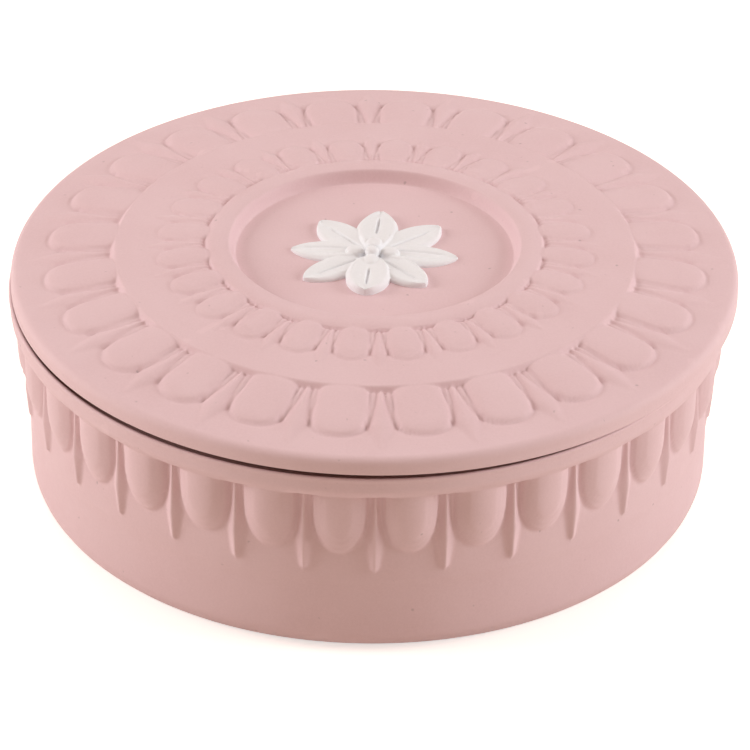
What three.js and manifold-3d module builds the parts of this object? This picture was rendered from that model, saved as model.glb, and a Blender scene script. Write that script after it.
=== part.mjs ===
// A round stoneware box: a turned base with a tapered wall, a domed lift-off lid with a locating
// flange, and a white clay flower applied in the well of the lid. Egg-and-dart relief runs round
// the wall and in two bands on the lid. Millimetres, +Z up, origin at the centre of the underside.

import * as THREE from 'three';
import { mergeVertices } from 'three/addons/utils/BufferGeometryUtils.js';
import Module from 'manifold-3d';

const wasm = await Module();
wasm.setup();

// Lid, from its centre outwards: the well, the ring round it and the two ornament bands.
const WELL_DIAMETER = 47;
const RING_WIDTH = 4.3;
const INNER_BAND_WIDTH = 15.7;
const OUTER_BAND_WIDTH = 16.5;

// Lid thicknesses and steps. The dome climbs across each band towards the middle.
const LID_EDGE_THICKNESS = 3.3;
const OUTER_BAND_CLIMB = 1.5;
const DISC_RISE = 0.95;
const INNER_BAND_CLIMB = 1.05;
const RING_RISE = 0.4;
const WELL_DEPTH = 1.7;
const WELL_FLOOR_THICKNESS = 4;
const LID_EDGE_ROUND = 1.1;
const DISC_EDGE_ROUND = 0.7;
const RING_TURN = 120;
const SHADOW_GAP_WIDTH = 2.4;
const SHADOW_GAP_HEIGHT = 0.6;

// Locating flange under the lid, which drops into the mouth of the base.
const FLANGE_HEIGHT = 4;
const FLANGE_THICKNESS = 3.2;
const FLANGE_CLEARANCE = 0.9;
const FLANGE_LEAD_IN = 0.8;

// Base.
const BASE_HEIGHT = 36;
const WALL_TAPER = 1;
const WALL_THICKNESS = 4.5;
const FLOOR_THICKNESS = 4.5;
const LID_OVERHANG = 0.3;
const RIM_HEIGHT = 4.8;
const RIM_PROUD = 2.9;
const RIM_ROUND = 1.4;
const MOUTH_LEAD_IN = 0.5;
const FOOT_ROUND = 1.5;
const INSIDE_CORNER_ROUND = 6;

// Egg-and-dart ornament. An egg's width is what its pitch leaves after the room between eggs.
const OUTER_EGGS = 24;
const INNER_EGGS = 24;
const WALL_EGGS = 32;
const OUTER_EGG_ROOM = 4.1;
const OUTER_EGG_RISE = 1;
const OUTER_EGG_TO_EDGE = 5.5;
const OUTER_EGG_STRAIGHT_PART = 0.6;
const OUTER_DART_WIDTH = 4;
const OUTER_DART_RISE = 0.7;
const OUTER_DART_TO_EDGE = 2.6;
const INNER_EGG_ROOM = 2.7;
const INNER_EGG_LENGTH = 7.9;
const INNER_EGG_RISE = 0.7;
const INNER_EGG_STRAIGHT_PART = 0.5;
const INNER_DART_LENGTH = 9.5;
const INNER_DART_WIDTH = 2.5;
const INNER_DART_RISE = 0.5;
const WALL_EGG_ROOM = 1.8;
const WALL_EGG_LENGTH = 11.5;
const WALL_EGG_RISE = 1.2;
const WALL_EGG_STRAIGHT_PART = 0.35;
const WALL_DART_LENGTH = 15;
const WALL_DART_WIDTH = 2.8;
const WALL_DART_RISE = 0.9;
const ORNAMENT_ROOT = 0.6;
const DART_WIDEST_PART = 0.63;
const DART_ROOT_PART = 0.4;

// Where the ornament starts round the box, in degrees from +X.
const LID_EGG_START = -96;
const WALL_EGG_START = -94.7;

// Applied flower: four upper petals in a cross and four lower ones between them. It was set by
// hand, a little to the left and front of the well's middle.
const FLOWER_TO_LEFT = 0.3;
const FLOWER_TO_FRONT = 1.8;
const PETALS_PER_LAYER = 4;
const PETAL_TO_WELL_WALL = 9.3;
const PETAL_WIDTH = 6.8;
const UPPER_PETAL_THICKNESS = 1.75;
const LOWER_PETAL_THICKNESS = 1.25;
const PETAL_EDGE_ROUND = 0.3;
const VEIN_WIDTH = 1.1;
const VEIN_DEPTH = 0.35;
const BOSS_DIAMETER = 3;
const BOSS_DISTANCE = 3.3;
const BEAD_DIAMETER = 2.4;
const BEAD_RISE = 0.6;
const FLOWER_TURN = -7;

// Smoothness of the turned and rounded surfaces.
const TURNED_SIDES = 72;
const EGG_SIDES = 8;
const EGG_STEPS = 3;
const ROUND_STEPS = 3;
const PETAL_STEPS = 5;
const DART_SIDES = 4;

// Radii and heights that follow from the sizes above.
const WELL_RADIUS = WELL_DIAMETER / 2;
const RING_RADIUS = WELL_RADIUS + RING_WIDTH;
const DISC_RADIUS = RING_RADIUS + INNER_BAND_WIDTH;
const LID_RADIUS = DISC_RADIUS + OUTER_BAND_WIDTH;
const RIM_RADIUS = LID_RADIUS - LID_OVERHANG;
const WALL_RADIUS = RIM_RADIUS - RIM_PROUD;
const FOOT_RADIUS = WALL_RADIUS - WALL_TAPER;
const MOUTH_RADIUS = WALL_RADIUS - WALL_THICKNESS;
const FLANGE_RADIUS = MOUTH_RADIUS - FLANGE_CLEARANCE;
const SEAT_Z = BASE_HEIGHT;
const RIM_Z = SEAT_Z - RIM_HEIGHT;
const EDGE_Z = SEAT_Z + LID_EDGE_THICKNESS;
const BAND_Z = EDGE_Z + OUTER_BAND_CLIMB;
const DISC_EDGE_Z = BAND_Z + DISC_RISE;
const DISC_Z = DISC_EDGE_Z + INNER_BAND_CLIMB;
const WELL_Z = DISC_Z - WELL_DEPTH;
const CEILING_Z = WELL_Z - WELL_FLOOR_THICKNESS;
const WALL_SLOPE = Math.atan2(WALL_TAPER, RIM_Z - FOOT_ROUND);
const OUTER_BAND_SLOPE = Math.atan2(OUTER_BAND_CLIMB, OUTER_BAND_WIDTH - LID_EDGE_ROUND);
const INNER_BAND_SLOPE = Math.atan2(INNER_BAND_CLIMB, INNER_BAND_WIDTH - DISC_EDGE_ROUND);

const pinkStoneware = new THREE.MeshStandardMaterial({ color: 0xdfb9b5, roughness: 0.85, metalness: 0 });
const whiteStoneware = new THREE.MeshStandardMaterial({ color: 0xece9e4, roughness: 0.8, metalness: 0 });

// Points of a round corner, as [radius, height] pairs, from one angle in degrees to another.
function corner(centreRadius, centreHeight, round, from, to) {
  const points = [];
  for (let i = 0; i <= ROUND_STEPS; i += 1) {
    const angle = THREE.MathUtils.degToRad(from + (to - from) * i / ROUND_STEPS);
    points.push([centreRadius + round * Math.cos(angle), centreHeight + round * Math.sin(angle)]);
  }
  return points;
}

// Turns a profile of [radius, height] pairs about the Z axis.
function turned(profile, sides) {
  const points = profile.map(([radius, height]) => new THREE.Vector2(radius, height));
  return new THREE.LatheGeometry(points, sides).rotateX(Math.PI / 2);
}

// Makes a solid of a closed geometry: shared corners are merged and empty faces dropped.
function solidOf(geometry) {
  const bare = geometry.clone();
  bare.deleteAttribute('normal');
  bare.deleteAttribute('uv');
  const merged = mergeVertices(bare);
  const faces = [];
  for (let i = 0; i < merged.index.count; i += 3) {
    const [a, b, c] = merged.index.array.slice(i, i + 3);
    if (a !== b && b !== c && c !== a) faces.push(a, b, c);
  }
  return new wasm.Manifold(new wasm.Mesh({
    numProp: 3,
    vertProperties: merged.attributes.position.array,
    triVerts: new Uint32Array(faces),
  }));
}

function meshOf(solid, name, material) {
  const { vertProperties, triVerts } = solid.getMesh();
  const geometry = new THREE.BufferGeometry();
  geometry.setAttribute('position', new THREE.BufferAttribute(vertProperties, 3));
  geometry.setIndex(new THREE.BufferAttribute(triVerts, 1));
  geometry.computeVertexNormals();
  const mesh = new THREE.Mesh(geometry, material);
  mesh.name = name;
  return mesh;
}

// A bead lies along +X with its root at x = 0 and its middle in the ground, so that half of
// it stands proud: rise high over the ground along +Z and width wide along Y.
function bead(profile, sides, rise) {
  const widest = Math.max(...profile.map(([radius]) => radius));
  return turned(profile, sides).rotateY(Math.PI / 2).scale(1, 1, rise / widest);
}

// An egg: straight sides for a part of its length from the root, then a round end.
function egg(length, width, rise, straightPart) {
  const half = width / 2;
  const straight = length * straightPart;
  const profile = [[0, 0], [half, 0]];
  for (let i = 0; i <= EGG_STEPS; i += 1) {
    const angle = Math.PI / 2 * i / EGG_STEPS;
    profile.push([half * Math.cos(angle), straight + (length - straight) * Math.sin(angle)]);
  }
  return bead(profile, EGG_SIDES, rise);
}

// A dart: a ridge that widens from its root and comes to a point.
function dart(length, width, rise) {
  const half = width / 2;
  const profile = [
    [0, 0],
    [half * DART_ROOT_PART, 0],
    [half, length * DART_WIDEST_PART],
    [0, length],
  ];
  return bead(profile, DART_SIDES, rise);
}

// Repeats a geometry round the Z axis, as a list of solids.
function around(geometry, count, startDegrees) {
  const solids = [];
  for (let i = 0; i < count; i += 1) {
    const angle = THREE.MathUtils.degToRad(startDegrees) + 2 * Math.PI * i / count;
    solids.push(solidOf(geometry.clone().rotateZ(angle)));
  }
  return solids;
}

function joined(solid, additions) {
  return additions.reduce((whole, addition) => whole.add(addition), solid);
}

// Width of one egg where count eggs stand round a circle with the given room between them.
function eggWidth(radius, count, room) {
  return 2 * Math.PI * radius / count - room;
}

// One band of ornament: eggs round the box, with a dart midway between each two.
function eggAndDart(eggShape, dartShape, count, eggStart) {
  const halfPitch = 180 / count;
  return [...around(eggShape, count, eggStart), ...around(dartShape, count, eggStart + halfPitch)];
}

// Lays a bead that points along +X on a surface that falls away outwards, with its root sunk in
// the step that the band starts from.
function onSlope(shape, radius, height, slope) {
  return shape.translate(-ORNAMENT_ROOT, 0, 0).rotateY(slope).translate(radius, 0, height);
}

// The wall's ornament hangs from under the rim.
function wallOrnament() {
  const hang = (shape) => onSlope(shape, WALL_RADIUS, RIM_Z, Math.PI / 2 + WALL_SLOPE);
  const width = eggWidth(WALL_RADIUS, WALL_EGGS, WALL_EGG_ROOM);
  return eggAndDart(
    hang(egg(ORNAMENT_ROOT + WALL_EGG_LENGTH, width, WALL_EGG_RISE, WALL_EGG_STRAIGHT_PART)),
    hang(dart(ORNAMENT_ROOT + WALL_DART_LENGTH, WALL_DART_WIDTH, WALL_DART_RISE)),
    WALL_EGGS,
    WALL_EGG_START,
  );
}

function base() {
  const profile = [
    [0, 0],
    ...corner(FOOT_RADIUS - FOOT_ROUND, FOOT_ROUND, FOOT_ROUND, -90, 0),
    [WALL_RADIUS, RIM_Z],
    ...corner(RIM_RADIUS - RIM_ROUND, RIM_Z + RIM_ROUND, RIM_ROUND, -90, 0),
    ...corner(RIM_RADIUS - RIM_ROUND, SEAT_Z - RIM_ROUND, RIM_ROUND, 0, 90),
    [MOUTH_RADIUS + MOUTH_LEAD_IN, SEAT_Z],
    [MOUTH_RADIUS, SEAT_Z - MOUTH_LEAD_IN],
    [MOUTH_RADIUS, RIM_Z],
    ...corner(
      FOOT_RADIUS - WALL_THICKNESS - INSIDE_CORNER_ROUND,
      FLOOR_THICKNESS + INSIDE_CORNER_ROUND,
      INSIDE_CORNER_ROUND,
      0,
      -90,
    ),
    [0, FLOOR_THICKNESS],
  ];
  const body = solidOf(turned(profile, TURNED_SIDES));
  return meshOf(joined(body, wallOrnament()), 'base', pinkStoneware);
}

// The lid's outer band points outwards from the foot of the raised disc.
function outerOrnament() {
  const place = (shape) => onSlope(shape, DISC_RADIUS, BAND_Z, OUTER_BAND_SLOPE);
  const eggLength = OUTER_BAND_WIDTH - OUTER_EGG_TO_EDGE;
  const dartLength = OUTER_BAND_WIDTH - OUTER_DART_TO_EDGE;
  const width = eggWidth(DISC_RADIUS + eggLength / 2, OUTER_EGGS, OUTER_EGG_ROOM);
  return eggAndDart(
    place(egg(ORNAMENT_ROOT + eggLength, width, OUTER_EGG_RISE, OUTER_EGG_STRAIGHT_PART)),
    place(dart(ORNAMENT_ROOT + dartLength, OUTER_DART_WIDTH, OUTER_DART_RISE)),
    OUTER_EGGS,
    LID_EGG_START,
  );
}

// The inner band points outwards from the ring, on the disc's face.
function innerOrnament() {
  const place = (shape) => onSlope(shape, RING_RADIUS, DISC_Z, INNER_BAND_SLOPE);
  const width = eggWidth(RING_RADIUS + INNER_EGG_LENGTH / 2, INNER_EGGS, INNER_EGG_ROOM);
  return eggAndDart(
    place(egg(ORNAMENT_ROOT + INNER_EGG_LENGTH, width, INNER_EGG_RISE, INNER_EGG_STRAIGHT_PART)),
    place(dart(ORNAMENT_ROOT + INNER_DART_LENGTH, INNER_DART_WIDTH, INNER_DART_RISE)),
    INNER_EGGS,
    LID_EGG_START,
  );
}

function lid() {
  const profile = [
    [0, CEILING_Z],
    [FLANGE_RADIUS - FLANGE_THICKNESS, CEILING_Z],
    [FLANGE_RADIUS - FLANGE_THICKNESS, SEAT_Z - FLANGE_HEIGHT],
    [FLANGE_RADIUS - FLANGE_LEAD_IN, SEAT_Z - FLANGE_HEIGHT],
    [FLANGE_RADIUS, SEAT_Z - FLANGE_HEIGHT + FLANGE_LEAD_IN],
    [FLANGE_RADIUS, SEAT_Z],
    [LID_RADIUS - SHADOW_GAP_WIDTH, SEAT_Z],
    [LID_RADIUS, SEAT_Z + SHADOW_GAP_HEIGHT],
    ...corner(LID_RADIUS - LID_EDGE_ROUND, EDGE_Z - LID_EDGE_ROUND, LID_EDGE_ROUND, 0, 90),
    [DISC_RADIUS, BAND_Z],
    ...corner(DISC_RADIUS - DISC_EDGE_ROUND, DISC_EDGE_Z - DISC_EDGE_ROUND, DISC_EDGE_ROUND, 0, 90),
    ...ringProfile(),
    [WELL_RADIUS, WELL_Z],
    [0, WELL_Z],
  ];
  const body = solidOf(turned(profile, TURNED_SIDES));
  return meshOf(joined(body, [...outerOrnament(), ...innerOrnament()]), 'lid', pinkStoneware);
}

// The ring round the well: a low rounded crest that starts at the disc's face and turns down
// into the well.
function ringProfile() {
  const crest = RING_WIDTH / 2;
  return corner(0, 0, 1, 0, RING_TURN).map(([across, up]) => [
    RING_RADIUS - crest + crest * across,
    DISC_Z + RING_RISE * up,
  ]);
}

// A petal lies along +X from the flower's centre, with a pointed tip and rounded edges.
function petal(length, width, thickness) {
  const reach = length - PETAL_EDGE_ROUND;
  const side = width - 2 * PETAL_EDGE_ROUND;
  const outline = new THREE.Shape();
  outline.moveTo(0, 0);
  outline.quadraticCurveTo(reach / 2, -side, reach, 0);
  outline.quadraticCurveTo(reach / 2, side, 0, 0);
  return new THREE.ExtrudeGeometry(outline, {
    depth: thickness - PETAL_EDGE_ROUND,
    bevelEnabled: true,
    bevelThickness: PETAL_EDGE_ROUND,
    bevelSize: PETAL_EDGE_ROUND,
    bevelSegments: ROUND_STEPS - 1,
    curveSegments: PETAL_STEPS,
  });
}

// The groove along the middle of a petal, from its boss to near its tip.
function vein(length, thickness) {
  const groove = [[0, 0], [VEIN_WIDTH / 2, length / 2], [0, length]];
  return bead(groove, DART_SIDES, VEIN_DEPTH).translate(BOSS_DISTANCE, 0, thickness);
}

function knob(diameter, distance, height, rise) {
  return new THREE.SphereGeometry(diameter / 2, EGG_SIDES, EGG_STEPS * 2)
    .rotateX(Math.PI / 2)
    .scale(1, 1, 2 * rise / diameter)
    .translate(distance, 0, height);
}

function petals(startDegrees, thickness) {
  const length = WELL_RADIUS - PETAL_TO_WELL_WALL;
  const veinLength = length - BOSS_DISTANCE - PETAL_EDGE_ROUND;
  return {
    leaves: around(petal(length, PETAL_WIDTH, thickness), PETALS_PER_LAYER, startDegrees),
    veins: around(vein(veinLength, thickness), PETALS_PER_LAYER, startDegrees),
  };
}

// The flower lies flat on the floor of the well: what its edges leave below is cut off.
function flower() {
  const upper = petals(FLOWER_TURN, UPPER_PETAL_THICKNESS);
  const lower = petals(FLOWER_TURN + 180 / PETALS_PER_LAYER, LOWER_PETAL_THICKNESS);
  const boss = knob(BOSS_DIAMETER, BOSS_DISTANCE, UPPER_PETAL_THICKNESS, BEAD_RISE);
  const bead = knob(BEAD_DIAMETER, 0, UPPER_PETAL_THICKNESS, BEAD_RISE);
  const below = new THREE.BoxGeometry(WELL_DIAMETER, WELL_DIAMETER, WELL_DEPTH)
    .translate(0, 0, -WELL_DEPTH / 2);
  const leaves = joined(upper.leaves[0], [...upper.leaves.slice(1), ...lower.leaves]);
  const grooved = [...upper.veins, ...lower.veins].reduce((whole, groove) => whole.subtract(groove), leaves);
  const knobs = [...around(boss, PETALS_PER_LAYER, FLOWER_TURN), solidOf(bead)];
  const whole = joined(grooved, knobs).subtract(solidOf(below));
  const mesh = meshOf(whole, 'applied_flower', whiteStoneware);
  mesh.geometry.translate(-FLOWER_TO_LEFT, -FLOWER_TO_FRONT, WELL_Z);
  return mesh;
}

const lidGroup = new THREE.Group();
lidGroup.add(lid(), flower());

const box = new THREE.Group();
box.add(base(), lidGroup);

export default box;
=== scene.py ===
# A round box of unglazed pink stoneware with a domed lift-off lid, egg-and-dart relief and a
# white applied flower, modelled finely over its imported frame. Sizes are in millimetres until a
# mesh is written.

import math

import bpy
import numpy as np
from mathutils import Matrix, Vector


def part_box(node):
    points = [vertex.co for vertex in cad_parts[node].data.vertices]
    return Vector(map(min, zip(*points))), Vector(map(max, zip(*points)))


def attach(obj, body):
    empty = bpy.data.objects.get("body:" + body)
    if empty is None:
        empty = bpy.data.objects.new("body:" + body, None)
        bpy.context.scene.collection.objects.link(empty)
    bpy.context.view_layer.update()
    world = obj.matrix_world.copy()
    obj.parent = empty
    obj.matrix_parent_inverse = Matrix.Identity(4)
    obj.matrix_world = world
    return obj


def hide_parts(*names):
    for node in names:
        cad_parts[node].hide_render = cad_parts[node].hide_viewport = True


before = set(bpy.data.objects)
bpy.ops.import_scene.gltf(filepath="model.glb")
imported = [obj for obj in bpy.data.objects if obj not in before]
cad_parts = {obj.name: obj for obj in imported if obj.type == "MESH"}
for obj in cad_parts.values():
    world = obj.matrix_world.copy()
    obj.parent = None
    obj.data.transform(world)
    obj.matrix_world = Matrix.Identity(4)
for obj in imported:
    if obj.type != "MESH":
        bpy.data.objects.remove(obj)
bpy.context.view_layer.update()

MM = 0.001


def box_mm(node):
    """The lowest and the highest corner of a node of the frame."""
    low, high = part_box(node)
    return np.array(low) / MM, np.array(high) / MM


base_high = box_mm("base")[1]
lid_low, lid_high = box_mm("lid")
flower_low = box_mm("applied_flower")[0]

# Sizes taken from the frame.
SEAT_Z = base_high[2]
RIM_RADIUS = base_high[0]
LID_RADIUS = lid_high[0]
FLANGE_Z = lid_low[2]
WELL_Z = flower_low[2]

# Sizes of the lid. Its dome climbs across each band towards the middle. The ring's crest leans
# towards its outer side, more the further RING_LEAN is below 1.
LID_EDGE_THICKNESS = 3.3
OUTER_BAND_WIDTH = 16.5
OUTER_BAND_CLIMB = 1.5
DISC_RISE = 0.95
INNER_BAND_WIDTH = 15.7
INNER_BAND_CLIMB = 1.05
RING_WIDTH = 4.3
RING_RISE = 0.55
RING_LEAN = 0.8
WELL_FLOOR_THICKNESS = 4
LID_EDGE_ROUND = 1.4
DISC_EDGE_ROUND = 0.85
LID_LOWER_ROUND = 0.4
WELL_SIDE_WIDTH = 1.3
CEILING_ROUND = 1.5
DISC_RADIUS = LID_RADIUS - OUTER_BAND_WIDTH
RING_RADIUS = DISC_RADIUS - INNER_BAND_WIDTH
WELL_RADIUS = RING_RADIUS - RING_WIDTH
WELL_FOOT = WELL_RADIUS - WELL_SIDE_WIDTH / 2
WELL_EDGE = WELL_RADIUS + WELL_SIDE_WIDTH / 2
LID_EDGE_RADIUS = LID_RADIUS - LID_EDGE_ROUND
EDGE_Z = SEAT_Z + LID_EDGE_THICKNESS
BAND_Z = EDGE_Z + OUTER_BAND_CLIMB
DISC_Z = BAND_Z + DISC_RISE + INNER_BAND_CLIMB
CEILING_Z = WELL_Z - WELL_FLOOR_THICKNESS

# Sizes of the base, whose wall tapers towards the foot. RELIEF_LENGTH is how far below the rim
# the fine mesh of the ornament reaches.
RIM_HEIGHT = 5.6
RIM_PROUD = 2.7
RIM_LOWER_ROUND = 2.6
RIM_TOP_ROUND = 0.35
RIM_FILLET = 0.4
WALL_TAPER = 0.35
WALL_THICKNESS = 4.7
FLOOR_THICKNESS = 4.5
FOOT_ROUND = 4
INSIDE_CORNER_ROUND = 6
MOUTH_LEAD_IN = 0.5
SEAT_WIDTH = 3.2
RELIEF_LENGTH = 16.5
RIM_Z = SEAT_Z - RIM_HEIGHT
WALL_RADIUS = RIM_RADIUS - RIM_PROUD
FOOT_RADIUS = WALL_RADIUS - WALL_TAPER
MOUTH_RADIUS = WALL_RADIUS - WALL_THICKNESS
SEAT_RADIUS = MOUTH_RADIUS + SEAT_WIDTH

# The locating flange under the lid.
FLANGE_CLEARANCE = 0.9
FLANGE_THICKNESS = 3.2
FLANGE_LEAD_IN = 0.8
FLANGE_INNER_ROUND = 0.3
FLANGE_RADIUS = MOUTH_RADIUS - FLANGE_CLEARANCE

# The lid rests on an inner seat. Outside the seat the rim lies lower, with a shallow groove, so
# that a dark slot shows between lid and rim. The lid's edge hangs a little below the seat. It is
# warped in the kiln, high at the back right and low at the front left. The rim's lip is lowest at
# the front, and its sinking starts LIP_BEND above the wall's ornament. SLOT_POWER keeps the high
# slot near the front. GROOVE_SIDE_LEAN is how far the seat's side leans out towards the groove's
# bottom, and GROOVE_EDGE how softly the shade painted into the groove ends. Directions are in
# degrees, anticlockwise from the right.
GROOVE_DEPTH = 1.6
GROOVE_EDGE = 0.2
GROOVE_SIDE_LEAN = 0.4
LIP_WIDTH = 0.15
LIP_DROP = 0.5
LIP_FRONT_DROP = 0.55
LIP_SHIFT = 0.1
LIP_BEND = 1
EDGE_DROP = 0.15
EDGE_WARP = 0.32
EDGE_HIGHEST_AT = 60
EDGE_BLEND = 0.5
SLOT_HIGHEST_AT = -90
SLOT_POWER = 3

# The lid sits a little to the right, and the wall bulges a little to the left.
LID_ASIDE = 0.4
WALL_ASIDE = -0.35

# The ornament: eggs with darts between them, and where the first egg stands, in degrees.
LID_EGGS = 24
LID_EGG_START = -96
WALL_EGGS = 32
WALL_EGG_START = -94.7

# How many points a ring of the mesh has, how much closer they stand at the darts than at the
# eggs, how far apart the rings lie in the relief, and how far a band's ornament reaches under the
# edge of the next step inwards. A flat face has its first ring at NEAR_AXIS.
LID_POINTS = 28 * LID_EGGS
WALL_POINTS = 30 * WALL_EGGS
CROWDING = 0.42
RELIEF_STEP = 0.35
BAND_UNDERLAP = 0.7
NEAR_AXIS = 5

random = np.random.default_rng(7)


# Shapes of profiles


def line(start, end, step):
    """Points from start towards end, without end itself."""
    start, end = np.array(start, float), np.array(end, float)
    count = max(1, math.ceil(np.hypot(*(end - start)) / step))
    return [tuple(start + (end - start) * i / count) for i in range(count)]


def arc(centre, radius, start, end, steps):
    """Points of a round corner, from one angle in degrees to another, without the last."""
    angles = [math.radians(start + (end - start) * i / steps) for i in range(steps)]
    return [(centre[0] + radius * math.cos(a), centre[1] + radius * math.sin(a)) for a in angles]


def smooth_step(low, high, value):
    """0 up to low, 1 from high on, and a soft climb between them."""
    t = np.clip((value - low) / (high - low), 0, 1)
    return t * t * (3 - 2 * t)


def hump(distance, width):
    """1 at no distance, and almost nothing at twice the width."""
    return np.exp(-((distance / width) ** 2))


def higher(first, second, fillet):
    """The higher of two surfaces, with a soft fillet where they meet."""
    return (first + second + np.sqrt((first - second) ** 2 + fillet ** 2) - fillet) / 2


# Building a turned mesh from stretches of its profile. A stretch is (points, count, relief):
# how many points its rings have, and a function that moves them outwards and upwards.


def ring(radius, height, theta, relief):
    """The points of one ring, moved outwards and upwards by its relief."""
    r = np.full(len(theta), float(radius))
    z = np.full(len(theta), float(height))
    if relief:
        out, up = relief(radius, height, theta)
        r = r + out
        z = z + up
    return np.stack([r * np.cos(theta), r * np.sin(theta), z], 1)


def crowded_angles(count, eggs, egg_start):
    """Angles of a ring's points, which stand closer at the darts, midway between the eggs."""
    even = 2 * np.pi * np.arange(count) / count
    from_dart = eggs * (even - math.radians(egg_start)) - np.pi
    return even - CROWDING * np.sin(from_dart) / eggs


def between(a, na, b, nb):
    """Faces between ring a, which starts at vertex a and has na points, and ring b."""
    if na == 1:
        return [(a, b + (i + 1) % nb, b + i) for i in range(nb)]
    if nb == 1:
        return [(a + i, a + (i + 1) % na, b) for i in range(na)]
    if na == nb:
        return [(a + i, a + (i + 1) % na, b + (i + 1) % nb, b + i) for i in range(na)]
    faces = []
    if na == 2 * nb:
        for j in range(nb):
            near, middle, far = a + 2 * j, a + 2 * j + 1, a + (2 * j + 2) % na
            left, right = b + j, b + (j + 1) % nb
            faces += [(near, middle, left), (middle, right, left), (middle, far, right)]
    else:
        for j in range(na):
            near, middle, far = b + 2 * j, b + 2 * j + 1, b + (2 * j + 2) % nb
            left, right = a + j, a + (j + 1) % na
            faces += [(left, middle, near), (left, right, middle), (right, far, middle)]
    return faces


def turned(name, stretches, eggs, egg_start):
    """A closed mesh turned about the Z axis, whose profile starts and ends on the axis."""
    points, faces = [], []
    start, last, last_count = 0, None, 0
    for profile, count, relief in stretches:
        angles = crowded_angles(count, eggs, egg_start)
        for radius, height in profile:
            pole = radius == 0
            here = ring(radius, height, angles[:1] if pole else angles, None if pole else relief)
            points.append(here)
            if last is not None:
                faces += between(last, last_count, start, len(here))
            last, last_count = start, len(here)
            start += len(here)
    return mesh_object(name, np.concatenate(points), faces)


def mesh_object(name, points_mm, faces):
    """A smooth object in metres from points in millimetres."""
    mesh = bpy.data.meshes.new(name)
    mesh.from_pydata((points_mm * MM).tolist(), [], faces)
    mesh.validate()
    mesh.shade_smooth()
    piece = bpy.data.objects.new(name, mesh)
    bpy.context.scene.collection.objects.link(piece)
    return piece


# Egg-and-dart relief. An egg is a dome with a round root, long sides and a round end. A raised
# shell runs along each of its sides down to a pit. A dart widens from its root to the pits and
# then comes to a point. All lengths are along the band from its root.

# How much eggs differ: in length and rise as a share, in place in millimetres.
EGG_LENGTH_VARIES = 0.015
EGG_PLACE_VARIES = 0.1
EGG_RISE_VARIES = 0.06

# Marks in the clay: how wide they are, and how far a crease lies outside its egg.
PIT_LENGTH = 0.75
PIT_WIDTH = 0.4
CREASE_OUTSIDE = 0.15
CREASE_WIDTH = 0.3
EGG_LINE_WIDTH = 0.27
NOTCH_PLACE = 0.2
NOTCH_LENGTH = 0.55
NOTCH_FROM_EGG = (-0.2, 0.5)

# How a shell and a dart fade and bend. The powers shape their crests and flanks.
SHELL_WIDTH_FADE = (0.15, 0.5)
SHELL_END_FADE = 1.2
SHELL_CREST_POWER = 0.7
DART_FLANK_POWER = 1.6
DART_POINT_LENGTH = 0.8
DART_CREST_POWER = 0.4

# Keeps a division away from zero.
SMALL = 0.01


class Band:
    """A band of eggs with darts between them, with small differences from egg to egg.

    A pit is given by its place along the band, its distance from the dart's axis and its depth.
    The notch is how deep the clay is cut at the band's root, between the eggs.
    """

    def __init__(self, count, start, egg, shell, dart, pit, notch):
        self.pitch = 2 * np.pi / count
        self.start = math.radians(start)
        self.count = count
        self.egg = egg
        self.shell = shell
        self.dart = dart
        self.pit = pit
        self.notch = notch
        self.vary = random.uniform(-1, 1, (count, 3))

    def height(self, along, radius, theta):
        """The relief's height at a distance along the band from its root."""
        turn = (theta - self.start) / self.pitch
        near = np.round(turn).astype(int)
        shift, stretch, swell = self.vary[near % self.count].T
        across = (turn - near) * self.pitch * radius
        aside = self.pitch * radius / 2 - np.abs(across)
        egg_along = along / (1 + EGG_LENGTH_VARIES * stretch)
        field, side = egg_field(egg_along, across + EGG_PLACE_VARIES * shift, self.egg)
        from_egg = (field - 1) * side
        egg = egg_height(field, side, self.egg) * (1 + EGG_RISE_VARIES * swell)
        flank = dart_flank(along, self.dart)
        dart = dart_height(along, aside, flank, self.dart)
        shell = shell_height(along, from_egg, aside - flank, self.shell)
        pit_along, pit_aside, pit_depth = self.pit
        pit = pit_depth * hump(along - pit_along, PIT_LENGTH) * hump(aside - pit_aside, PIT_WIDTH)
        crease = self.egg["crease"] * hump(from_egg - CREASE_OUTSIDE, CREASE_WIDTH)
        beside_egg = smooth_step(*NOTCH_FROM_EGG, from_egg)
        notch = self.notch * hump(along - NOTCH_PLACE, NOTCH_LENGTH) * beside_egg
        return np.maximum(np.maximum(egg, shell), dart) - pit - crease - notch


def egg_field(along, across, egg):
    """0 in the middle of an egg, 1 on its outline and more outside it, and its half width."""
    side = np.interp(along, [0, egg["end_from"]], [egg["root_half_width"], egg["half_width"]])
    root = np.clip((egg["root_round"] + egg["begin"] - along) / egg["root_round"], 0, None)
    tip = np.clip((along - egg["end_from"]) / (egg["length"] - egg["end_from"]), 0, None)
    power = egg["squareness"]
    return ((np.abs(across) / side) ** power + root ** power + tip ** power) ** (1 / power), side


def egg_height(field, side, egg):
    """A dome, with thin lines at their distances inside its outline."""
    height = egg["rise"] * np.sqrt(np.clip(1 - field ** egg["flatness"], 0, None))
    for inside, depth in egg["lines"]:
        height = height - depth * hump((1 - field) * side - inside, EGG_LINE_WIDTH) * (field < 1)
    return height


def shell_height(along, from_egg, from_dart, shell):
    """The raised line between an egg's side and the groove beside the dart."""
    inner = np.clip(from_egg, 0, None)
    outer = np.clip(from_dart - shell["groove"], 0, None)
    width = inner + outer
    crest = 4 * inner * outer / np.maximum(width, SMALL) ** 2
    past_end = smooth_step(shell["end"] - SHELL_END_FADE, shell["end"], along)
    fade = smooth_step(*SHELL_WIDTH_FADE, width) * (1 - past_end)
    return shell["rise"] * crest ** SHELL_CREST_POWER * fade


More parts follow.
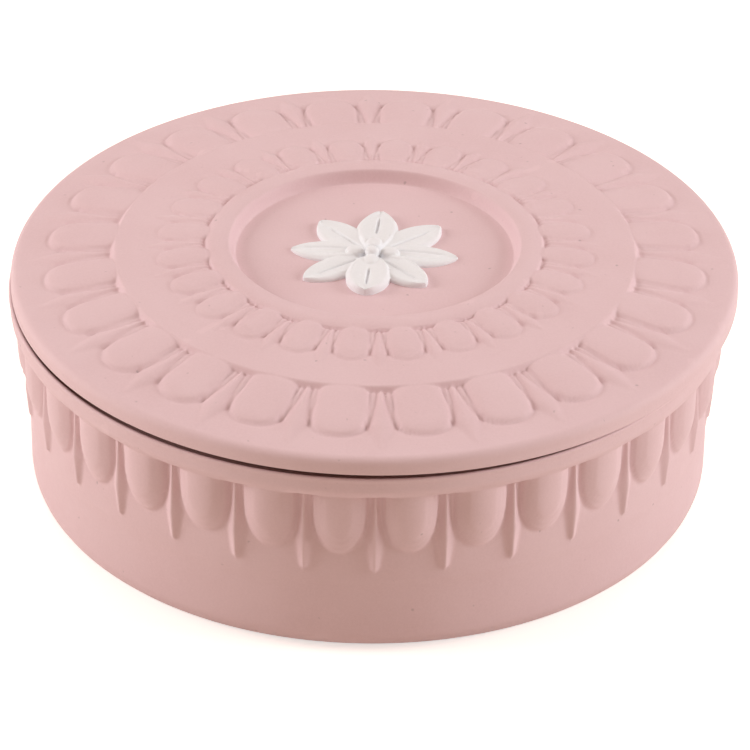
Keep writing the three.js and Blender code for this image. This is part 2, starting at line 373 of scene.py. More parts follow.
def dart_flank(along, dart):
    """How far a dart's flank lies from its axis."""
    widening = np.clip(along / dart["widest_at"], 0, 1) ** DART_FLANK_POWER
    narrowing = np.clip((dart["length"] - along) / (dart["length"] - dart["widest_at"]), 0, 1)
    root, widest, end = dart["root_half_width"], dart["half_width"], dart["end_half_width"]
    flank = (root + (widest - root) * widening) * (end + (widest - end) * narrowing) / widest
    return flank * np.sqrt(smooth_step(0, DART_POINT_LENGTH, dart["length"] - along))


def dart_height(along, aside, flank, dart):
    """A ridge, low at its narrow root, that sinks towards its end by the dart's own share."""
    roof = np.clip(1 - (aside / np.maximum(flank, SMALL)) ** dart["roundness"], 0, None)
    end = smooth_step(dart["widest_at"], dart["length"], along)
    share = (flank / dart["half_width"]) ** DART_CREST_POWER
    return dart["rise"] * (1 - dart["sinks"] * end) * share * roof


OUTER_BAND = Band(
    LID_EGGS,
    LID_EGG_START,
    egg={
        "begin": -2.1, "root_round": 3, "root_half_width": 4.05, "half_width": 4.5, "end_from": 7,
        "length": 10.9, "squareness": 2.2, "flatness": 2.3, "rise": 0.92, "lines": [], "crease": 0.14,
    },
    shell={"rise": 0.28, "groove": 0.3, "end": 8.3},
    dart={
        "root_half_width": 0.55, "half_width": 2.15, "end_half_width": 0.45, "widest_at": 8.4,
        "length": 13.9, "rise": 0.65, "sinks": 0.7, "roundness": 1.6,
    },
    pit=(8.3, 2.35, 0.45),
    notch=0.12,
)
INNER_BAND = Band(
    LID_EGGS,
    LID_EGG_START,
    egg={
        "begin": -0.7, "root_round": 2.4, "root_half_width": 2.2, "half_width": 2.95, "end_from": 4.8,
        "length": 8.2, "squareness": 2.2, "flatness": 2.3, "rise": 0.65,
        "lines": [(0.55, 0.12), (1.15, 0.1)], "crease": 0.1,
    },
    shell={"rise": 0.2, "groove": 0.22, "end": 6.3},
    dart={
        "root_half_width": 0.35, "half_width": 1.35, "end_half_width": 0.3, "widest_at": 6.2,
        "length": 9.9, "rise": 0.42, "sinks": 0.7, "roundness": 1.5,
    },
    pit=(6.2, 1.45, 0.3),
    notch=0.45,
)
WALL_BAND = Band(
    WALL_EGGS,
    WALL_EGG_START,
    egg={
        "begin": -2.5, "root_round": 3, "root_half_width": 4.35, "half_width": 4.35, "end_from": 3.5,
        "length": 11, "squareness": 2.1, "flatness": 2, "rise": 1.9,
        "lines": [(0.8, 0.22), (1.5, 0.16)], "crease": 0.5,
    },
    shell={"rise": 0.25, "groove": 0.2, "end": 8},
    dart={
        "root_half_width": 0.45, "half_width": 1.75, "end_half_width": 0.75, "widest_at": 8.7,
        "length": 14.6, "rise": 1.3, "sinks": 0.05, "roundness": 1.3,
    },
    pit=(8.9, 1.9, 0.5),
    notch=0,
)


class Waver:
    """A slow waver round the box, as hand-finished pottery has."""

    def __init__(self, size):
        self.size = size
        self.phases = random.uniform(0, 2 * np.pi, 5)

    def at(self, theta):
        """How far the waver moves a ring's points outwards."""
        waves = [np.sin((k + 2) * theta + phase) / (k + 1) for k, phase in enumerate(self.phases)]
        return self.size * sum(waves)


LID_WAVER = Waver(0.06)
WALL_WAVER = Waver(0.05)


# The lid


def outer_surface(radius):
    """The outer band's plain slope."""
    climb = OUTER_BAND_CLIMB / (LID_EDGE_RADIUS - DISC_RADIUS)
    return BAND_Z - climb * (radius - DISC_RADIUS)


def disc_surface(radius):
    """The raised disc's plain slope, with the inner band on it."""
    climb = INNER_BAND_CLIMB / (DISC_RADIUS - RING_RADIUS)
    return DISC_Z - climb * (radius - RING_RADIUS)


def plain_top(radius):
    """The lid's top without its ornament: both bands, the disc's edge, the ring and the well."""
    past_edge = np.clip((radius - DISC_RADIUS + DISC_EDGE_ROUND) / DISC_EDGE_ROUND, 0, 1)
    outer, disc = outer_surface(radius), disc_surface(radius)
    top = outer + (disc - outer) * (1 - past_edge ** 2)
    across_ring = np.clip((RING_RADIUS - radius) / RING_WIDTH, 0, 1)
    top = top + RING_RISE * np.sin(np.pi * across_ring ** RING_LEAN)
    return WELL_Z + (top - WELL_Z) * smooth_step(WELL_FOOT, WELL_EDGE, radius)


def top_relief(radius, height, theta):
    """Moves a ring that lies on the plain top up to the ornament, with the lid's waver and warp."""
    place = radius - LID_WAVER.at(theta)
    outer = outer_surface(place) + OUTER_BAND.height(place - DISC_RADIUS, place, theta)
    inner = disc_surface(place) + INNER_BAND.height(place - RING_RADIUS, place, theta)
    top = plain_top(place)
    if radius > DISC_RADIUS - BAND_UNDERLAP:
        top = np.where(place > DISC_RADIUS, outer, np.maximum(top, outer))
    elif radius > RING_RADIUS - BAND_UNDERLAP:
        top = np.where(place > RING_RADIUS, inner, np.maximum(top, inner))
    return 0, top - height + edge_warp(place, theta)


def slot_share(theta):
    """1 where the slot between lid and rim is highest, 0 on the far side."""
    return (0.5 + 0.5 * np.cos(theta - math.radians(SLOT_HIGHEST_AT))) ** SLOT_POWER


def edge_relief(radius, height, theta):
    """The lid's edge wavers and warps outside the seat, and hangs lower at its underside."""
    past_seat = smooth_step(SEAT_RADIUS, SEAT_RADIUS + EDGE_BLEND, radius)
    low = 1 - smooth_step(SEAT_Z + EDGE_BLEND, EDGE_Z - LID_EDGE_ROUND, height)
    up = edge_warp(radius, theta) * (1 - low) - EDGE_DROP * past_seat * low
    return LID_WAVER.at(theta) * past_seat, up


def edge_warp(radius, theta):
    """How far the warp lifts the lid: nothing on the disc, and most at the edge."""
    towards_edge = smooth_step(DISC_RADIUS, LID_EDGE_RADIUS, radius)
    return EDGE_WARP * np.cos(theta - math.radians(EDGE_HIGHEST_AT)) * towards_edge


def lid_underside():
    """The profile from the axis along the ceiling and down, round and up the flange."""
    inner = FLANGE_RADIUS - FLANGE_THICKNESS
    ceiling_end = inner - CEILING_ROUND
    ceiling_round_z = CEILING_Z - CEILING_ROUND
    foot_round = inner + FLANGE_INNER_ROUND
    foot_round_z = FLANGE_Z + FLANGE_INNER_ROUND
    lead_in = FLANGE_RADIUS - FLANGE_LEAD_IN
    lead_in_z = FLANGE_Z + FLANGE_LEAD_IN
    return [
        (0, CEILING_Z),
        *line((NEAR_AXIS, CEILING_Z), (ceiling_end, CEILING_Z), step=6),
        *arc((ceiling_end, ceiling_round_z), CEILING_ROUND, 90, 0, steps=4),
        *line((inner, ceiling_round_z), (inner, foot_round_z), step=1),
        *arc((foot_round, foot_round_z), FLANGE_INNER_ROUND, 180, 270, steps=3),
        *line((foot_round, FLANGE_Z), (lead_in, FLANGE_Z), step=1),
        *line((lead_in, FLANGE_Z), (FLANGE_RADIUS, lead_in_z), step=0.3),
        *line((FLANGE_RADIUS, lead_in_z), (FLANGE_RADIUS, SEAT_Z), step=1),
    ]


def lid_edge():
    """The profile from the seat outwards and up round the edge."""
    blend_end = SEAT_RADIUS + 0.6
    lower_z = SEAT_Z + LID_LOWER_ROUND
    upper_z = EDGE_Z - LID_EDGE_ROUND
    return [
        *line((SEAT_RADIUS, SEAT_Z), (blend_end, SEAT_Z), step=0.3),
        *line((blend_end, SEAT_Z), (LID_RADIUS - LID_LOWER_ROUND, SEAT_Z), step=1),
        *arc((LID_RADIUS - LID_LOWER_ROUND, lower_z), LID_LOWER_ROUND, -90, 0, steps=4),
        *line((LID_RADIUS, lower_z), (LID_RADIUS, upper_z), step=0.5),
        *arc((LID_EDGE_RADIUS, upper_z), LID_EDGE_ROUND, 0, 90, steps=7),
    ]


def lid_top(start, end, step):
    """A stretch of the plain top between two radii."""
    return [(radius, plain_top(radius)) for radius, _ in line((start, 0), (end, 0), step)]


def lid_piece():
    seat = line((FLANGE_RADIUS, SEAT_Z), (SEAT_RADIUS, SEAT_Z), step=1.5)
    outer_roots = DISC_RADIUS + 2
    on_disc = DISC_RADIUS - 1.3
    outer = [
        *lid_top(LID_EDGE_RADIUS, outer_roots, RELIEF_STEP),
        *lid_top(outer_roots, on_disc, step=0.2),
    ]
    inner_darts_end = RING_RADIUS + 10.5
    disc = lid_top(on_disc, inner_darts_end, step=0.8)
    inner_roots = RING_RADIUS + 1.5
    on_ring = RING_RADIUS - 1
    inner = [
        *lid_top(inner_darts_end, inner_roots, step=0.3),
        *lid_top(inner_roots, on_ring, step=0.2),
    ]
    beside_well = WELL_EDGE + 0.3
    in_well = WELL_FOOT - 0.3
    crest = [
        *lid_top(on_ring, beside_well, step=0.3),
        *lid_top(beside_well, in_well, step=0.12),
    ]
    middle = 2
    floor = [*lid_top(in_well, middle, step=3), (middle, WELL_Z), (0, WELL_Z)]
    lid = turned("lid_body", [
        (lid_underside(), LID_POINTS // 4, None),
        (seat, LID_POINTS // 2, None),
        (lid_edge(), LID_POINTS, edge_relief),
        (outer, LID_POINTS, top_relief),
        (disc, LID_POINTS // 2, top_relief),
        (inner, LID_POINTS, top_relief),
        (crest, LID_POINTS // 2, top_relief),
        (floor, LID_POINTS // 4, None),
    ], LID_EGGS, LID_EGG_START)
    lid.location.x = LID_ASIDE * MM
    return lid


# The base


def wall_radius(height):
    """The plain wall, a little hollow between its foot and the rim."""
    up = (min(height, RIM_Z) - FOOT_ROUND) / (RIM_Z - FOOT_ROUND)
    return WALL_RADIUS - WALL_TAPER * (1 - up ** 2)


def rim_radius(height):
    """The rim's bead, which rounds in to the wall below."""
    up = np.clip((height - RIM_Z) / RIM_LOWER_ROUND, 0, 1)
    return WALL_RADIUS + RIM_PROUD * math.sqrt(1 - (1 - up) ** 2)


def wall_relief(radius, height, theta):
    """Moves a ring that lies on the plain wall or the rim's bead out to the ornament."""
    wall = wall_radius(height) + WALL_BAND.height(RIM_Z - height, WALL_RADIUS, theta)
    surface = higher(wall, rim_radius(height), RIM_FILLET)
    return surface - radius + off_centre(theta), lip_drop(height, theta)


def lip_relief(radius, height, theta):
    """The lip follows the wall, but its inner edge moves outwards by no more than LIP_SHIFT."""
    out = off_centre(theta)
    if radius < RIM_RADIUS - RIM_TOP_ROUND:
        out = np.minimum(out, LIP_SHIFT)
    return out, lip_drop(height, theta)


def lip_drop(height, theta):
    """How the rim's lip sinks towards the slot's highest place, less and less below the lip."""
    near_lip = smooth_step(RIM_Z + LIP_BEND, SEAT_Z - GROOVE_DEPTH, height)
    return -LIP_FRONT_DROP * slot_share(theta) * near_lip


def plain_relief(radius, height, theta):
    """Below the ornament a ring only follows the wall's waver and bulge."""
    return off_centre(theta), 0


def off_centre(theta):
    """How far the wall's waver and its bulge to the left move it outwards."""
    return WALL_WAVER.at(theta) + WALL_ASIDE * np.cos(theta)


def wall_stretch(start, end, step):
    """A stretch of the plain wall between two heights."""
    return [(wall_radius(z), z) for _, z in line((0, start), (0, end), step)]


def base_piece():
    foot_centre = FOOT_RADIUS - FOOT_ROUND
    relief_end = RIM_Z - RELIEF_LENGTH
    below_rim = RIM_Z - 0.5
    on_rim = RIM_Z + 1
    lip = RIM_RADIUS - RIM_TOP_ROUND
    lip_z = SEAT_Z - LIP_DROP
    groove_z = SEAT_Z - GROOVE_DEPTH
    inside = FOOT_RADIUS - WALL_THICKNESS - INSIDE_CORNER_ROUND
    inside_z = FLOOR_THICKNESS + INSIDE_CORNER_ROUND
    underside = [(0, 0), *line((NEAR_AXIS, 0), (foot_centre, 0), step=6)]
    foot = [
        *arc((foot_centre, FOOT_ROUND), FOOT_ROUND, -90, 0, steps=7),
        *line((FOOT_RADIUS, FOOT_ROUND), (wall_radius(relief_end), relief_end), step=1),
    ]
    ornament = [
        *wall_stretch(relief_end, below_rim, RELIEF_STEP),
        *wall_stretch(below_rim, on_rim, step=0.15),
        *wall_stretch(on_rim, lip_z - RIM_TOP_ROUND, step=0.4),
    ]
    rim_top = [
        *arc((lip, lip_z - RIM_TOP_ROUND), RIM_TOP_ROUND, 0, 90, steps=6),
        (lip, lip_z),
        (lip - LIP_WIDTH, lip_z),
        (lip - 2 * LIP_WIDTH, groove_z),
    ]
    groove_start = lip - 1.5
    seat_foot = SEAT_RADIUS + GROOVE_SIDE_LEAN
    lead_in = MOUTH_RADIUS + MOUTH_LEAD_IN
    lead_in_z = SEAT_Z - MOUTH_LEAD_IN
    mouth = [
        *line((groove_start, groove_z), (seat_foot, groove_z), step=1),
        *line((seat_foot, groove_z), (SEAT_RADIUS, SEAT_Z), step=0.4),
        *line((SEAT_RADIUS, SEAT_Z), (lead_in, SEAT_Z), step=1),
        *arc((lead_in, lead_in_z), MOUTH_LEAD_IN, 90, 180, steps=4),
        *line((MOUTH_RADIUS, lead_in_z), (MOUTH_RADIUS, RIM_Z), step=2),
        *line((MOUTH_RADIUS, RIM_Z), (inside + INSIDE_CORNER_ROUND, inside_z), step=2),
    ]
    hollow = [
        *arc((inside, inside_z), INSIDE_CORNER_ROUND, 0, -90, steps=10),
        *line((inside, FLOOR_THICKNESS), (NEAR_AXIS, FLOOR_THICKNESS), step=5),
        (NEAR_AXIS, FLOOR_THICKNESS),
        (0, FLOOR_THICKNESS),
    ]
    return turned("base_body", [
        (underside, WALL_POINTS // 4, None),
        (foot, WALL_POINTS // 2, plain_relief),
        (ornament, WALL_POINTS, wall_relief),
        (rim_top, WALL_POINTS // 2, lip_relief),
        (mouth, WALL_POINTS // 2, None),
        (hollow, WALL_POINTS // 4, None),
    ], WALL_EGGS, WALL_EGG_START)


# The applied flower. Its petals lie in the well: four of a cross above four diagonal ones.
# FLOWER_MIDDLE is measured from the lid's axis, and the other places from the flower's middle.
# Shares are of a petal's length, counted from its root, or of its half width.

FLOWER_MIDDLE = (0.02, -1.9)
BEAD_PLACE = (-0.03, -0.6)
BEAD_SIZE = (1.2, 1.15, 1.05)
BEAD_Z = 1.4
BOSS_SIZE = (1.55, 1.3, 0.75)
BOSS_Z = 1.12
BOSS_DISTANCE = 2.85
PIT_PLACES = ((-1.5, -0.5), (1.45, -0.5))
PETAL_ROWS = 48
PETAL_COLUMNS = 24
PETAL_SINK = 0.4
PETAL_WIDEST_AT = 0.57
PETAL_SHARES = (0.01, 0.999)
PETAL_FIRST_ROW = 0.004
PETAL_ROWS_SPAN = 0.995
PETAL_LEAST_WIDTH = 0.04
PETAL_THINNING_POWER = 1.5
PETAL_ROOT_CLIMB = (0.03, 0.3)
PETAL_SIDE_HEIGHT = 0.45
PETAL_SIDE_ROUND = 0.25
PETAL_DISH = 0.36
PETAL_DISH_START = 0.2
LINE_START_FADE = 0.06
LINE_END_FADE = 0.12
FLOWER_PIT_DEPTH = 0.9
FLOWER_PIT_WIDTH = 0.36
CARVED_ABOVE = 0.3
VOXEL = 0.13


class Petal:
    """A leaf-shaped petal: where it points in degrees, its size, and the line pressed into it."""

    def __init__(self, turn, length, half_width, thickness, tip_thickness, pressed, sharpness=0.75):
        self.turn = math.radians(turn)
        self.length = length
        self.half_width = half_width
        self.thickness = thickness
        self.tip_thickness = tip_thickness
        self.pressed = pressed
        self.sharpness = sharpness

    def wide(self, t):
        """Half the petal's width at a share of its length. It is widest past its middle."""
        widest = PETAL_WIDEST_AT
        root = self.sharpness * widest / (1 - widest)
        t = np.clip(t, *PETAL_SHARES)
        return self.half_width * (t / widest) ** root * ((1 - t) / (1 - widest)) ** self.sharpness

    def crown(self, t, s):
        """The height of the petal's top, which is a little dished between its two sides."""
        thinning = t ** PETAL_THINNING_POWER
        spine = self.thickness + (self.tip_thickness - self.thickness) * thinning
        spine = spine * (0.5 + 0.5 * smooth_step(*PETAL_ROOT_CLIMB, t))
        edge = np.clip(1 - np.abs(s), 0, 1)
        rounding = np.sin(np.pi / 2 * np.clip(edge / PETAL_SIDE_ROUND, 0, 1))
        side = PETAL_SIDE_HEIGHT + (1 - PETAL_SIDE_HEIGHT) * rounding
        return spine * side - PETAL_DISH * smooth_step(PETAL_DISH_START, 1, edge)


VEIN = {"start": 0.44, "end": 0.87, "depth": 0.8, "width": 0.2, "aside": 0}
CREASE = {"start": 0.2, "end": 0.86, "depth": 0.4, "width": 0.2, "aside": 0}
FOLD = {"start": 0.25, "end": 0.9, "depth": 0.28, "width": 0.2, "aside": 0.3}
LOWER_PETALS = [
    Petal(39.7, 14.7, 3.4, 1.05, 0.85, CREASE),
    Petal(129.2, 13.9, 3.45, 1.05, 0.85, CREASE),
    Petal(214.6, 13.7, 3.0, 1.1, 0.8, CREASE),
    Petal(-47, 12.9, 3.15, 1.1, 1, CREASE),
]
UPPER_PETALS = [
    Petal(-0.8, 14.1, 3.05, 1.45, 0.4, FOLD),
    Petal(84.5, 14.1, 3.45, 1.5, 0.95, VEIN),
    Petal(170.7, 13.7, 2.85, 1.45, 0.4, FOLD),
    Petal(-95.4, 12.3, 3.65, 1.65, 1.45, VEIN, 0.6),
]
PETALS = LOWER_PETALS + UPPER_PETALS


def spun(points, turn):
    """Points turned about the Z axis."""
    c, s = math.cos(turn), math.sin(turn)
    return points @ np.array([[c, s, 0], [-s, c, 0], [0, 0, 1]])


def petal_mesh(petal):
    """Points and faces of one petal: a dished top, upright sides and a flat underside."""
    points, faces = [], []
    columns = PETAL_COLUMNS + 1
    for i in range(PETAL_ROWS + 1):
        t = PETAL_FIRST_ROW + PETAL_ROWS_SPAN * i / PETAL_ROWS
        wide = max(float(petal.wide(t)), PETAL_LEAST_WIDTH)
        for level in ("top", "bottom"):
            for j in range(columns):
                s = -1 + 2 * j / PETAL_COLUMNS
                height = petal.crown(t, s) if level == "top" else -PETAL_SINK
                points.append((petal.length * t, wide * s, height))
    row = 2 * columns
    for i in range(PETAL_ROWS):
        for j in range(PETAL_COLUMNS):
            a, b = i * row + j, (i + 1) * row + j
            faces.append((a, b, b + 1, a + 1))
            faces.append((a + columns, a + columns + 1, b + columns + 1, b + columns))
        first, last = i * row, i * row + PETAL_COLUMNS
        faces.append((first, first + columns, first + row + columns, first + row))
        faces.append((last, last + row, last + row + columns, last + columns))
    for i in (0, PETAL_ROWS):
        for j in range(PETAL_COLUMNS):
            a = i * row + j
            end = (a, a + 1, a + 1 + columns, a + columns)
            faces.append(end if i == 0 else end[::-1])
    return spun(np.array(points), petal.turn), faces


def knob_mesh(place, size, height, turn):
    """Points and faces of a rounded lump at a place on the flower."""
    rows, columns = 12, 20
    points, faces = [(0, 0, 1)], []
    for i in range(1, rows):
        polar = math.pi * i / rows
        for j in range(columns):
            around = 2 * math.pi * j / columns
            points.append((
                math.sin(polar) * math.cos(around), math.sin(polar) * math.sin(around), math.cos(polar),
            ))
    points.append((0, 0, -1))
    for j in range(columns):
        k = (j + 1) % columns
        faces.append((0, 1 + j, 1 + k))
        for i in range(rows - 2):
            a, b = 1 + i * columns, 1 + (i + 1) * columns
            faces.append((a + j, b + j, b + k, a + k))
        last = 1 + (rows - 2) * columns
        faces.append((last + j, len(points) - 1, last + k))
    points = spun(np.array(points) * np.array(size), turn)
    return points + np.array([*place, height]), faces


def flower_piece():
    """Petals, bosses and bead, fused with a millimetre to the unit, then carved and scaled."""
    parts = [petal_mesh(petal) for petal in PETALS]
    for petal in UPPER_PETALS:
        place = (BOSS_DISTANCE * math.cos(petal.turn), BOSS_DISTANCE * math.sin(petal.turn))
        parts.append(knob_mesh(place, BOSS_SIZE, BOSS_Z, petal.turn))
    parts.append(knob_mesh(BEAD_PLACE, BEAD_SIZE, BEAD_Z, 0))
    points, faces, start = [], [], 0
    for part_points, part_faces in parts:
        points.append(part_points)
        faces += [tuple(start + i for i in face) for face in part_faces]
        start += len(part_points)
    flower = mesh_object("flower", np.concatenate(points) / MM, faces)
    fused = flower.modifiers.new("fuse", "REMESH")
    fused.mode = "VOXEL"
    fused.voxel_size = VOXEL
    graph = bpy.context.evaluated_depsgraph_get()
    mesh = bpy.data.meshes.new_from_object(flower.evaluated_get(graph))
    flower.modifiers.clear()
    flower.data = mesh
    carve_flower(mesh)
    mesh.shade_smooth()
    return flower


def carve_flower(mesh):
    """Presses the lines and pits into the flower, rests it on the well and brings it to size."""
    count = len(mesh.vertices)
    points = np.empty(count * 3, np.float32)
    mesh.vertices.foreach_get("co", points)
    points = points.reshape(-1, 3).astype(float)
    normals = np.empty(count * 3, np.float32)
    mesh.vertices.foreach_get("normal", normals)
    upward = np.clip(normals.reshape(-1, 3)[:, 2], 0, 1) * (points[:, 2] > CARVED_ABOVE)
    for petal in PETALS:
        along = points[:, 0] * math.cos(petal.turn) + points[:, 1] * math.sin(petal.turn)
        across = -points[:, 0] * math.sin(petal.turn) + points[:, 1] * math.cos(petal.turn)
        pressed, t = petal.pressed, along / petal.length
        fade_in = smooth_step(pressed["start"], pressed["start"] + LINE_START_FADE, t)
        fade_out = 1 - smooth_step(pressed["end"] - LINE_END_FADE, pressed["end"], t)
        from_line = np.abs(across) - pressed["aside"] * petal.wide(t)
        depth = pressed["depth"] * hump(from_line, pressed["width"])
        points[:, 2] -= depth * fade_in * fade_out * upward
    for x, y in PIT_PLACES:
        away = np.hypot(points[:, 0] - x, points[:, 1] - y)
        points[:, 2] -= FLOWER_PIT_DEPTH * hump(away, FLOWER_PIT_WIDTH) * upward
    points[:, 2] = np.maximum(points[:, 2], 0)
    points += np.array([*FLOWER_MIDDLE, WELL_Z])
    mesh.vertices.foreach_set("co", (points * MM).astype(np.float32).ravel())
    mesh.update()


# Materials. The scales of the noises are in cells to the metre, the ranges are of their values,
# and the bump's distance is in millimetres.

PALE_SHARE = 1.06
PALE_LIFT = 0.02
PORE_SHADE = 0.5
MOTTLE_SCALE = 70
MOTTLE_RANGE = (0.35, 0.65)
NOISE_RANGE = (0.3, 0.7)
GRAIN_SCALE = 2600
PORE_SCALE = 420
PORE_CHOICE_SCALE = 900
PORE_RADII = (0.06, 0.16)
PORE_CHOICE = (0.66, 0.72)
ROUGHNESS_SCALE = 500
ROUGHNESS = (0.58, 0.74)
BUMP_SCALE = 3200
BUMP_DISTANCE = 0.03
EDGE_POINTINESS = (0.5, 0.56)
EDGE_PALENESS = 0.5


def stoneware(name, colour, shade, grain, pores):
    """Matte unglazed clay: faint mottling, fine grain, pores, paler edges and shade painted into the
    groove.
    """
    material = bpy.data.materials.new(name)
    material.use_nodes = True
    nodes, links = material.node_tree.nodes, material.node_tree.links
    surface = nodes["Principled BSDF"]
    surface.inputs["Specular IOR Level"].default_value = 0.35
    where = nodes.new("ShaderNodeTexCoord").outputs["Object"]

    def noise(scale, detail):
        node = nodes.new("ShaderNodeTexNoise")
        node.inputs["Scale"].default_value = scale
        node.inputs["Detail"].default_value = detail
        links.new(where, node.inputs["Vector"])
        return node.outputs["Fac"]

    def remap(value, low, high, to_low, to_high):
        node = nodes.new("ShaderNodeMapRange")
        limits = {"From Min": low, "From Max": high, "To Min": to_low, "To Max": to_high}
        for key, number in limits.items():
            node.inputs[key].default_value = number
        links.new(value, node.inputs["Value"])
        return node.outputs["Result"]

    def mix(amount, first, second):
        node = nodes.new("ShaderNodeMix")
        node.data_type = "RGBA"
        links.new(amount, node.inputs["Factor"])
        for socket, value in ((node.inputs["A"], first), (node.inputs["B"], second)):
            if isinstance(value, tuple):
                socket.default_value = (*value, 1)
            else:
                links.new(value, socket)
        return node.outputs["Result"]

    def math_node(operation, first, second):
        node = nodes.new("ShaderNodeMath")
        node.operation = operation
        links.new(first, node.inputs[0])
        links.new(second, node.inputs[1])
        return node.outputs["Value"]

    def within(value, low, high):
        """1 between two sizes in millimetres, 0 further than the groove's soft edge from them."""
        rise = remap(value, (low - GROOVE_EDGE) * MM, low * MM, 0, 1)
        fall = remap(value, high * MM, (high + GROOVE_EDGE) * MM, 1, 0)
        return math_node("MULTIPLY", rise, fall)

    def painted_groove_shade():
        """1 in the rim's groove and on the lid above it, where shade is painted into the colour."""
        apart = nodes.new("ShaderNodeSeparateXYZ")
        links.new(where, apart.inputs["Vector"])
        flat = nodes.new("ShaderNodeVectorMath")
        flat.operation = "MULTIPLY"
        flat.inputs[1].default_value = (1, 1, 0)
        links.new(where, flat.inputs[0])
        length = nodes.new("ShaderNodeVectorMath")
        length.operation = "LENGTH"
        links.new(flat.outputs["Vector"], length.inputs[0])
        lip = RIM_RADIUS - RIM_TOP_ROUND - 2 * LIP_WIDTH - GROOVE_EDGE
        ring = within(length.outputs["Value"], SEAT_RADIUS, lip)
        layer = within(apart.outputs["Z"], SEAT_Z - GROOVE_DEPTH - GROOVE_EDGE, SEAT_Z + GROOVE_EDGE)
        return math_node("MULTIPLY", ring, layer)

    pale = tuple(min(1, c * PALE_SHARE + PALE_LIFT) for c in colour)
    mottled = mix(remap(noise(MOTTLE_SCALE, 4), *MOTTLE_RANGE, 0, 1), colour, shade)
    grained = mix(remap(noise(GRAIN_SCALE, 3), *NOISE_RANGE, 0, grain), mottled, pale)
    cells = nodes.new("ShaderNodeTexVoronoi")
    cells.inputs["Scale"].default_value = PORE_SCALE
    links.new(where, cells.inputs["Vector"])
    near = remap(cells.outputs["Distance"], *PORE_RADII, 1, 0)
    chosen = remap(noise(PORE_CHOICE_SCALE, 0), *PORE_CHOICE, 0, 1)
    pore = math_node("MULTIPLY", near, chosen)
    speckled = mix(remap(pore, 0, 1, 0, pores), grained, tuple(c * PORE_SHADE for c in colour))
    edges = nodes.new("ShaderNodeNewGeometry").outputs["Pointiness"]
    worn = mix(remap(edges, *EDGE_POINTINESS, 0, EDGE_PALENESS), speckled, pale)
    # Painted shade: the groove and the lid's underside above it are darkened so that the slot looks
    # dark.
    groove_shaded = mix(painted_groove_shade(), worn, GROOVE_PAINTED_SHADE)
    links.new(groove_shaded, surface.inputs["Base Color"])
    roughness = remap(noise(ROUGHNESS_SCALE, 3), *NOISE_RANGE, *ROUGHNESS)
    links.new(roughness, surface.inputs["Roughness"])
    relief = math_node("ADD", noise(BUMP_SCALE, 4), remap(pore, 0, 1, 0, -2))
    bump = nodes.new("ShaderNodeBump")
    bump.inputs["Strength"].default_value = 0.5
    bump.inputs["Distance"].default_value = BUMP_DISTANCE * MM
    links.new(relief, bump.inputs["Height"])
    links.new(bump.outputs["Normal"], surface.inputs["Normal"])
    return material


PINK = (0.75, 0.555, 0.587)
PINK_SHADE = (0.73, 0.53, 0.56)
# The darker colour painted into the groove as shade, not a colour of the clay.
GROOVE_PAINTED_SHADE = (0.42, 0.25, 0.24)
WHITE = (0.845, 0.86, 0.9)
WHITE_SHADE = (0.825, 0.84, 0.875)

pink = stoneware("pink_stoneware", PINK, PINK_SHADE, grain=0.35, pores=0.5)
white = stoneware("white_stoneware", WHITE, WHITE_SHADE, grain=0.3, pores=0.25)


def dress(piece, body, node, material):
    """Gives a piece its material and its place in the frame."""
    piece.data.materials.clear()
    piece.data.materials.append(material)
    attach(piece, body)
    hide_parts(node)


dress(base_piece(), "base", "base", pink)
dress(lid_piece(), "lid", "lid", pink)
dress(flower_piece(), "lid", "applied_flower", white)


# Camera: where it stands, in millimetres from the middle of the underside, and how it is turned,
# in degrees.

PHOTO_PIXELS = 750
FOCAL_PIXELS = 4786.8
CAMERA_DISTANCE = 811.8
CAMERA_ELEVATION = 32.84
CAMERA_ASIDE = -0.45
VIEW_DOWN = 31.81
VIEW_HEADING = -0.097
VIEW_ROLL = 0.742
SENSOR = 36


def make_camera():
    data = bpy.data.cameras.new("camera")
    data.sensor_width = SENSOR
    data.lens = FOCAL_PIXELS / PHOTO_PIXELS * SENSOR
    data.clip_start = 0.01
    data.clip_end = 20
    camera = bpy.data.objects.new("camera", data)
    bpy.context.scene.collection.objects.link(camera)
    up = math.radians(CAMERA_ELEVATION)
    place = Matrix.Translation((
        CAMERA_ASIDE * MM,
        -CAMERA_DISTANCE * math.cos(up) * MM,
        CAMERA_DISTANCE * math.sin(up) * MM,
    ))
    turn = (
        Matrix.Rotation(math.radians(VIEW_HEADING), 4, "Z")
        @ Matrix.Rotation(math.radians(90 - VIEW_DOWN), 4, "X")
        @ Matrix.Rotation(math.radians(VIEW_ROLL), 4, "Z")
    )
    camera.matrix_world = place @ turn
    bpy.context.scene.camera = camera


make_camera()


# Floor, lamps and world, in metres and watts

FLOOR_REACH = 3
FLOOR_COLOUR = (0.86, 0.8, 0.73)
FLOOR_GLOW = 0.6
WORLD_LIGHT = 0.3
WORLD_TINT = (1, 0.63, 0.4)


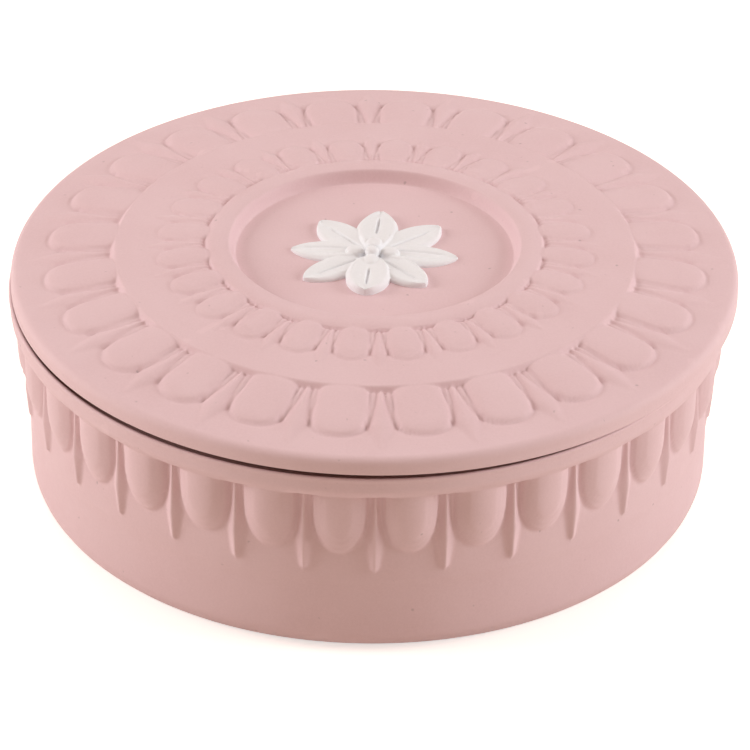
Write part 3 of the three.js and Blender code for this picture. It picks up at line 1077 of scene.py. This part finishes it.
def make_floor():
    """A pale floor that glows white for the camera, but keeps the box's shadow."""
    mesh = bpy.data.meshes.new("floor")
    corners = [(x * FLOOR_REACH, y * FLOOR_REACH, 0) for x, y in ((-1, -1), (1, -1), (1, 1), (-1, 1))]
    mesh.from_pydata(corners, [], [(0, 1, 2, 3)])
    floor = bpy.data.objects.new("floor", mesh)
    bpy.context.scene.collection.objects.link(floor)
    material = bpy.data.materials.new("floor_white")
    material.use_nodes = True
    nodes, links = material.node_tree.nodes, material.node_tree.links
    surface = nodes["Principled BSDF"]
    surface.inputs["Base Color"].default_value = (*FLOOR_COLOUR, 1)
    surface.inputs["Roughness"].default_value = 0.9
    surface.inputs["Specular IOR Level"].default_value = 0.1
    surface.inputs["Emission Color"].default_value = (1, 1, 1, 1)
    glow = nodes.new("ShaderNodeMath")
    glow.operation = "MULTIPLY"
    glow.inputs[1].default_value = FLOOR_GLOW
    links.new(seen_directly(nodes, links), glow.inputs[0])
    links.new(glow.outputs["Value"], surface.inputs["Emission Strength"])
    mesh.materials.append(material)


def seen_directly(nodes, links):
    """1 for a ray from the camera, a mirror or glass, and 0 for the light on the object."""
    path = nodes.new("ShaderNodeLightPath")
    total = path.outputs["Is Camera Ray"]
    for name in ("Is Glossy Ray", "Is Transmission Ray"):
        node = nodes.new("ShaderNodeMath")
        node.operation = "MAXIMUM"
        links.new(total, node.inputs[0])
        links.new(path.outputs[name], node.inputs[1])
        total = node.outputs["Value"]
    return total


def make_world():
    """A white background, which lights the box only dimly and a little warmly."""
    world = bpy.data.worlds.new("studio")
    bpy.context.scene.world = world
    world.use_nodes = True
    nodes, links = world.node_tree.nodes, world.node_tree.links
    background = nodes["Background"]
    seen = seen_directly(nodes, links)
    colour = nodes.new("ShaderNodeMix")
    colour.data_type = "RGBA"
    colour.inputs["A"].default_value = (*WORLD_TINT, 1)
    colour.inputs["B"].default_value = (1, 1, 1, 1)
    links.new(seen, colour.inputs["Factor"])
    links.new(colour.outputs["Result"], background.inputs["Color"])
    strength = nodes.new("ShaderNodeMapRange")
    strength.inputs["To Min"].default_value = WORLD_LIGHT
    strength.inputs["To Max"].default_value = 1
    links.new(seen, strength.inputs["Value"])
    links.new(strength.outputs["Result"], background.inputs["Strength"])


def softbox(name, place, size, power, colour=(1, 1, 1)):
    """A square lamp that faces the box."""
    data = bpy.data.lights.new(name, "AREA")
    data.shape = "SQUARE"
    data.size = size
    data.energy = power
    data.color = colour
    lamp = bpy.data.objects.new(name, data)
    bpy.context.scene.collection.objects.link(lamp)
    lamp.location = place
    towards = -lamp.location
    lamp.rotation_euler = towards.to_track_quat("-Z", "Y").to_euler()


make_floor()
make_world()
softbox("top_box", place=(0, 0.25, 1.0), size=0.9, power=3.65)
softbox("left_box", place=(-0.88, -0.01, 0.38), size=0.45, power=5.2)
softbox("right_box", place=(0.875, -0.1, 0.38), size=0.45, power=5.4, colour=(0.95, 0.985, 1))

bpy.context.scene.view_settings.view_transform = "Standard"
